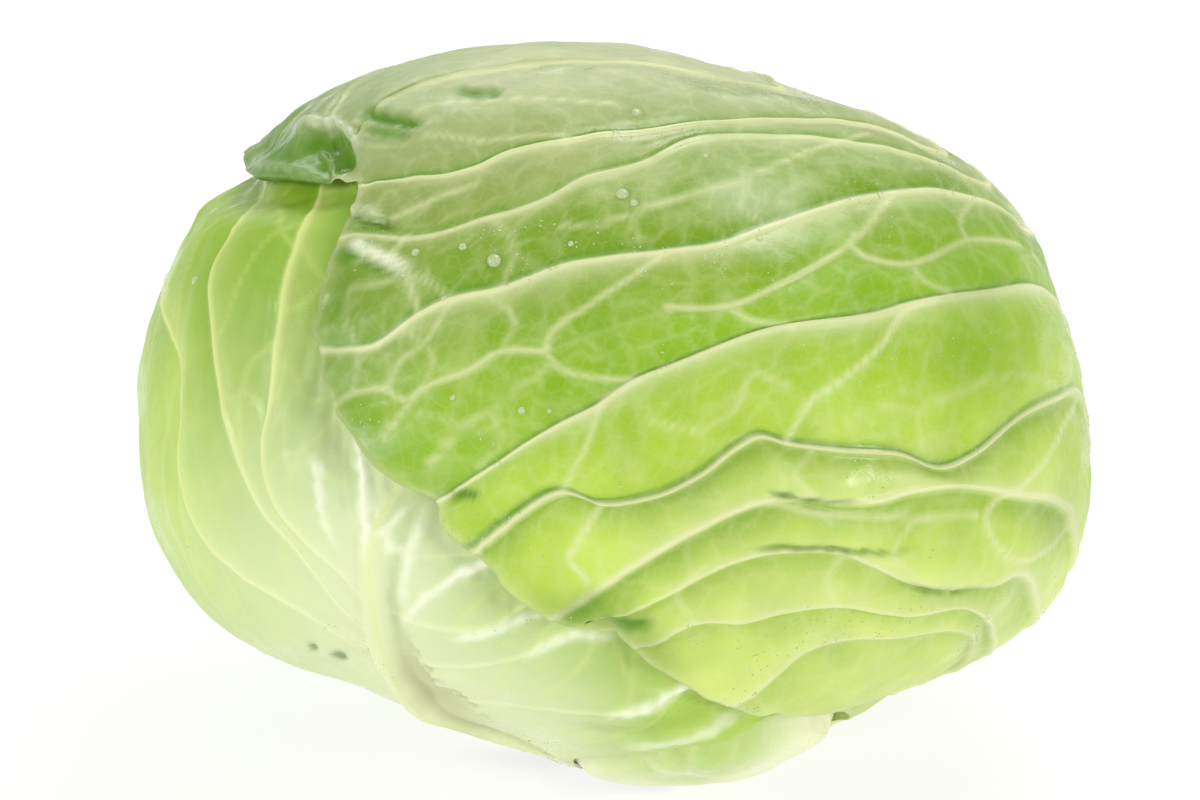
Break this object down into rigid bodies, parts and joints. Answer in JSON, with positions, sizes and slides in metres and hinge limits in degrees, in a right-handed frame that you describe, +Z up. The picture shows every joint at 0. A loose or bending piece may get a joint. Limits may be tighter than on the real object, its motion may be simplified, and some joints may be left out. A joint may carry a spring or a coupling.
{
  "type": "cabbage head",
  "caption": "Flat round head of white cabbage, slightly leaning, with a closed heart, a cut stem and loose overlapping wrapper leaves with raised ribs.",
  "frame": {"origin": "on the surface that the head rests on, under the middle of its box", "axes": "+Z up, front of the head towards -Y, the wide outline of the head along X"},
  "size_m": [0.2105, 0.1909, 0.1652],
  "materials": {
    "leaf_outer": "smooth waxy leaf, satin",
    "leaf_front": "smooth waxy leaf, satin",
    "leaf_inner": "smooth waxy leaf, satin",
    "heart": "smooth pale leaf, satin",
    "stem": "moist fibrous cut stem, matte"
  },
  "bodies": {
    "root": {"leaf_1_right_back": "leaf_inner", "leaf_2_left": "leaf_inner", "leaf_3_right_front": "leaf_inner", "leaf_4_back": "leaf_inner", "leaf_5_front": "leaf_front", "leaf_6_right": "leaf_outer", "heart": "heart", "stem": "stem"}
  },
  "joints": []
}
